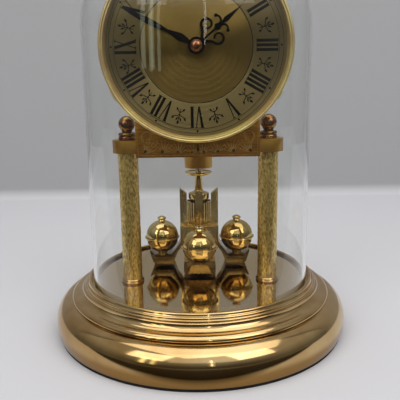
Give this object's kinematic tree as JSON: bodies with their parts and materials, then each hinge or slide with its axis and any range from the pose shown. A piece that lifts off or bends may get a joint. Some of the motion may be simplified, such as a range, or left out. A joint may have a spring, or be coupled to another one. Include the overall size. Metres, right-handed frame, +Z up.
{
  "type": "anniversary clock",
  "caption": "Battery clock with a round dial on pillars and a slowly turning ball pendulum, on a round brass base under a lift-off glass dome.",
  "frame": {"origin": "centre of the underside of the felt, on the table", "axes": "+Z up, -Y towards the person reading the dial, +X to that person's right"},
  "size_m": [0.19, 0.19, 0.26],
  "materials": {
    "polished_brass": "polished spun brass",
    "mirror_brass": "mirror polish",
    "textured_brass": "bark textured, lacquered",
    "satin_gold": "satin gold paint on moulded plastic",
    "engraved_gold": "engraved, brushed, lacquered",
    "bronze": "polished bronze tone",
    "champagne_dial": "spun champagne lacquer",
    "bezel_brass": "polished",
    "black_paint": "satin black",
    "copper_nut": "polished copper tone",
    "gold_plating": "bright gold plating on plastic",
    "clear_glass": "clear",
    "black_felt": "felt",
    "cover_metal": "dark paint",
    "steel": "zinc plated",
    "black_plastic": "moulded",
    "white_plastic": "moulded",
    "magnet": "sintered magnet on a plastic pinion",
    "copper_wire": "enamelled wire",
    "board": "printed circuit board",
    "battery_skin": "plain printed sleeve"
  },
  "bodies": {
    "clock": {"felt_pad": "black_felt", "bottom_cover": "cover_metal", "base_shell": "polished_brass", "top_plate": "mirror_brass", "left_pillar_foot": "polished_brass", "right_pillar_foot": "polished_brass", "left_pillar": "textured_brass", "right_pillar": "textured_brass", "left_tie_rod": "steel", "right_tie_rod": "steel", "rod_nuts": "steel", "rod_washers": "steel", "bridge": "satin_gold", "front_plate": "engraved_gold", "front_plate_screws": "steel", "left_finial": "bronze", "right_finial": "bronze", "drive_housing": "satin_gold", "drive_coil": "copper_wire", "pivot_bearing": "polished_brass", "drive_screws": "steel", "drive_leads": "bezel_brass", "dial_plate": "champagne_dial", "bezel": "bezel_brass", "bezel_clips": "bezel_brass", "dial_feet": "polished_brass", "dial_screws": "steel", "movement_case": "black_plastic", "movement_cover": "black_plastic", "middle_plate": "white_plastic", "bushing": "polished_brass", "bushing_nut": "polished_brass", "stator": "steel", "stepper_coil": "copper_wire", "circuit_board": "board", "crystal": "steel", "battery": "battery_skin", "battery_contacts": "steel"},
    "dome": {"glass_dome": "clear_glass"},
    "pendulum": {"spindle": "steel", "saucer": "gold_plating", "pendulum_stem": "gold_plating", "pendulum_sleeve": "gold_plating", "pendulum_frame": "gold_plating", "ball_upper_shells": "gold_plating", "ball_lower_shells": "gold_plating", "ball_knobs": "gold_plating", "ball_pins": "gold_plating"},
    "minute": {"minute_shaft": "polished_brass", "minute_hand": "black_paint", "hand_nut": "copper_nut"},
    "hour": {"hour_wheel": "white_plastic", "hour_hand": "black_paint"},
    "motion": {"motion_wheel": "white_plastic", "setting_knob": "black_plastic"},
    "rotor": {"rotor": "magnet"},
    "step": {"step_wheel": "white_plastic"},
    "second": {"second_wheel": "white_plastic"},
    "third": {"third_wheel": "white_plastic"},
    "centre": {"centre_wheel": "white_plastic"}
  },
  "joints": [
    {"name": "dome_lift", "type": "slide", "parent": "clock", "child": "dome", "axis": [0, 0, 1], "range_m": [0, 0.21]},
    {"name": "pendulum_turn", "type": "hinge", "parent": "clock", "child": "pendulum", "pos_m": [0, 0.0243, 0.1], "axis": [0, 0, 1], "range_deg": [-180, 180]},
    {"name": "minute_turn", "type": "hinge", "parent": "clock", "child": "minute", "pos_m": [0, 0, 0.1794], "axis": [0, 1, 0], "continuous": true},
    {"name": "hour_turn", "type": "hinge", "parent": "clock", "child": "hour", "pos_m": [0, 0, 0.1794], "axis": [0, 1, 0], "continuous": true},
    {"name": "motion_turn", "type": "hinge", "parent": "clock", "child": "motion", "pos_m": [0.01039, 0, 0.1854], "axis": [0, 1, 0], "continuous": true},
    {"name": "rotor_turn", "type": "hinge", "parent": "clock", "child": "rotor", "pos_m": [-0.00487, 0, 0.1995], "axis": [0, 1, 0], "continuous": true},
    {"name": "step_turn", "type": "hinge", "parent": "clock", "child": "step", "pos_m": [-0.01087, 0, 0.1995], "axis": [0, 1, 0], "continuous": true},
    {"name": "second_turn", "type": "hinge", "parent": "clock", "child": "second", "pos_m": [-0.01525, 0, 0.19193], "axis": [0, 1, 0], "continuous": true},
    {"name": "third_turn", "type": "hinge", "parent": "clock", "child": "third", "pos_m": [-0.0051, 0, 0.18823], "axis": [0, 1, 0], "continuous": true},
    {"name": "centre_turn", "type": "hinge", "parent": "clock", "child": "centre", "pos_m": [0, 0, 0.1794], "axis": [0, 1, 0], "continuous": true}
  ],
  "couplings": [
    {"joint": "hour_turn", "follows": "minute_turn", "ratio": 0.083333},
    {"joint": "motion_turn", "follows": "minute_turn", "ratio": -0.33333},
    {"joint": "step_turn", "follows": "rotor_turn", "ratio": -0.2},
    {"joint": "second_turn", "follows": "rotor_turn", "ratio": 0.033333},
    {"joint": "third_turn", "follows": "rotor_turn", "ratio": -0.0041667},
    {"joint": "centre_turn", "follows": "rotor_turn", "ratio": 0.00055556}
  ]
}
